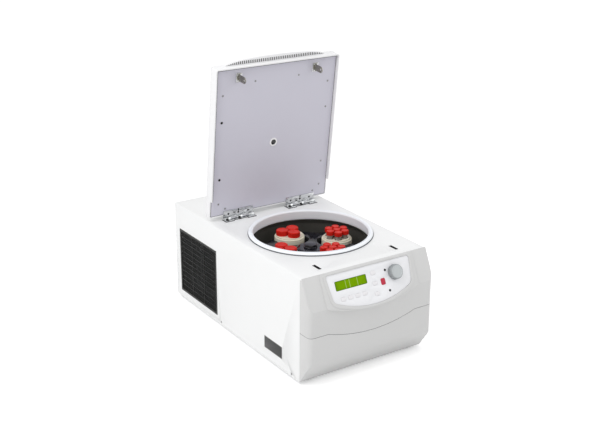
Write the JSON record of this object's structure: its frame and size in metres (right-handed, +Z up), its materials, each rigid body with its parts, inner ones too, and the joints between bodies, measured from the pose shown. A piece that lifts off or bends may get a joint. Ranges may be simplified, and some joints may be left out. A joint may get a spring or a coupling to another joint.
{
  "type": "bench centrifuge",
  "caption": "Refrigerated bench centrifuge with an open hinged lid, a swing-out rotor with tube buckets in a round bowl and a sloped control panel.",
  "frame": {"origin": "on the bench under the middle of the whole part as pictured, lid open", "axes": "+X to the machine's right seen from its control panel, +Y to the rear, +Z up"},
  "size_m": [0.4, 0.7382, 0.7732],
  "materials": {
    "shell_paint": "white powder coat, fine satin",
    "front_plastic": "light grey moulding, fine texture",
    "lid_plastic": "off-white moulding, fine texture",
    "lid_plate": "grey lacquered sheet, satin",
    "port_glass": "dark clear port, polished",
    "bright_steel": "bright plated steel",
    "hook_steel": "dark sprung steel",
    "plated_pan": "plain zinc-plated sheet",
    "black_plastic": "black moulding, fine texture",
    "foot_rubber": "dark green-black rubber",
    "mount_rubber": "black rubber",
    "seal_rubber": "pale silicone rubber, smooth",
    "bowl_metal": "dark satin bowl with a spun grain",
    "coil_copper": "bare copper tube",
    "foam": "cream rigid foam, open skin",
    "cast_case": "grey cast case",
    "black_case": "black enamelled case",
    "shaft_steel": "ground steel",
    "rotor_metal": "black anodised, glossy",
    "bucket_cream": "cream enamel, glossy",
    "rack_red": "red plastic caps in a cream rack",
    "overlay": "pale lilac-grey overlay film",
    "lcd": "yellow-green display",
    "key_pale": "near-white key cap",
    "key_red": "red key cap",
    "knob_grey": "grey moulding with a satin face",
    "board_green": "green circuit board",
    "condenser_metal": "plain aluminium fins"
  },
  "bodies": {
    "cabinet": {"cabinet_shell": "shell_paint", "rear_panel": "shell_paint", "front_fascia": "front_plastic", "front_apron": "front_plastic", "base_pan": "plated_pan", "side_grille": "black_plastic", "mains_inlet": "black_plastic", "bowl": "bowl_metal", "bowl_gasket": "seal_rubber", "evaporator_coil": "coil_copper", "bowl_insulation": "foam", "motor_housing": "cast_case", "keypad_panel": "overlay", "display_window": "lcd", "control_board": "board_green", "condenser": "condenser_metal", "compressor": "black_case", "foot_front_left": "foot_rubber", "foot_front_right": "foot_rubber", "foot_rear_left": "foot_rubber", "foot_rear_right": "foot_rubber", "motor_mount_1": "mount_rubber", "motor_mount_2": "mount_rubber", "motor_mount_3": "mount_rubber", "latch_unit_left": "black_plastic", "hinge_base_left": "bright_steel", "hinge_pin_left": "bright_steel", "latch_unit_right": "black_plastic", "hinge_base_right": "bright_steel", "hinge_pin_right": "bright_steel"},
    "lid": {"lid_frame": "lid_plastic", "lid_cover": "lid_plastic", "lid_inner_plate": "lid_plate", "sight_glass": "port_glass", "latch_hook_left": "hook_steel", "latch_hook_right": "hook_steel", "hinge_leaf_left": "bright_steel", "hinge_leaf_right": "bright_steel"},
    "rotor": {"motor_shaft": "shaft_steel", "rotor_cross": "rotor_metal", "rotor_nut": "shaft_steel"},
    "knob": {"knob": "knob_grey"},
    "fan": {"condenser_fan": "black_plastic"},
    "switch": {"power_switch": "black_plastic"},
    "swing_bucket_right": {"bucket_right": "bucket_cream", "tube_rack_right": "rack_red"},
    "swing_bucket_rear": {"bucket_rear": "bucket_cream", "tube_rack_rear": "rack_red"},
    "swing_bucket_left": {"bucket_left": "bucket_cream", "tube_rack_left": "rack_red"},
    "swing_bucket_front": {"bucket_front": "bucket_cream", "tube_rack_front": "rack_red"},
    "button_speed": {"key_speed": "key_pale"},
    "button_time": {"key_time": "key_pale"},
    "button_temperature": {"key_temperature": "key_pale"},
    "button_program": {"key_program": "key_pale"},
    "button_lid": {"key_lid": "key_pale"},
    "button_start": {"key_start": "key_pale"},
    "button_short_spin": {"key_short_spin": "key_pale"},
    "button_stop": {"key_stop": "key_red"}
  },
  "joints": [
    {"name": "lid_hinge", "type": "hinge", "parent": "cabinet", "child": "lid", "pos_m": [0, 0.14964, 0.307], "axis": [1, 0, 0], "range_deg": [0, 83]},
    {"name": "rotor_spin", "type": "hinge", "parent": "cabinet", "child": "rotor", "pos_m": [0, -0.06086, 0.23], "axis": [0, 0, 1], "continuous": true},
    {"name": "bucket_right_swing", "type": "hinge", "parent": "rotor", "child": "swing_bucket_right", "pos_m": [0.09514, -0.05253, 0.248], "axis": [0.0872, -0.9962, 0], "range_deg": [0, 90]},
    {"name": "bucket_rear_swing", "type": "hinge", "parent": "rotor", "child": "swing_bucket_rear", "pos_m": [-0.00832, 0.03428, 0.248], "axis": [0.9962, 0.0872, 0], "range_deg": [0, 90]},
    {"name": "bucket_left_swing", "type": "hinge", "parent": "rotor", "child": "swing_bucket_left", "pos_m": [-0.09514, -0.06918, 0.248], "axis": [-0.0872, 0.9962, 0], "range_deg": [0, 90]},
    {"name": "bucket_front_swing", "type": "hinge", "parent": "rotor", "child": "swing_bucket_front", "pos_m": [0.00832, -0.15599, 0.248], "axis": [-0.9962, -0.0872, 0], "range_deg": [0, 90]},
    {"name": "knob_turn", "type": "hinge", "parent": "cabinet", "child": "knob", "pos_m": [0.0775, -0.3385, 0.26547], "axis": [0, -0.9063, 0.4226], "continuous": true},
    {"name": "key_speed_press", "type": "slide", "parent": "cabinet", "child": "button_speed", "axis": [0, 0.9063, -0.4226], "range_m": [0, 0.0004], "stiffness_N_per_m": 500},
    {"name": "key_time_press", "type": "slide", "parent": "cabinet", "child": "button_time", "axis": [0, 0.9063, -0.4226], "range_m": [0, 0.0004], "stiffness_N_per_m": 500},
    {"name": "key_temperature_press", "type": "slide", "parent": "cabinet", "child": "button_temperature", "axis": [0, 0.9063, -0.4226], "range_m": [0, 0.0004], "stiffness_N_per_m": 500},
    {"name": "key_program_press", "type": "slide", "parent": "cabinet", "child": "button_program", "axis": [0, 0.9063, -0.4226], "range_m": [0, 0.0004], "stiffness_N_per_m": 500},
    {"name": "key_lid_press", "type": "slide", "parent": "cabinet", "child": "button_lid", "axis": [0, 0.9063, -0.4226], "range_m": [0, 0.0004], "stiffness_N_per_m": 500},
    {"name": "key_start_press", "type": "slide", "parent": "cabinet", "child": "button_start", "axis": [0, 0.9063, -0.4226], "range_m": [0, 0.0004], "stiffness_N_per_m": 500},
    {"name": "key_short_spin_press", "type": "slide", "parent": "cabinet", "child": "button_short_spin", "axis": [0, 0.9063, -0.4226], "range_m": [0, 0.0004], "stiffness_N_per_m": 500},
    {"name": "key_stop_press", "type": "slide", "parent": "cabinet", "child": "button_stop", "axis": [0, 0.9063, -0.4226], "range_m": [0, 0.0004], "stiffness_N_per_m": 500},
    {"name": "fan_spin", "type": "hinge", "parent": "cabinet", "child": "fan", "pos_m": [-0.1452, 0.23514, 0.11815], "axis": [1, 0, 0], "continuous": true},
    {"name": "switch_rock", "type": "hinge", "parent": "cabinet", "child": "switch", "pos_m": [0.144, 0.36434, 0.066], "axis": [1, 0, 0], "range_deg": [0, 16]}
  ]
}
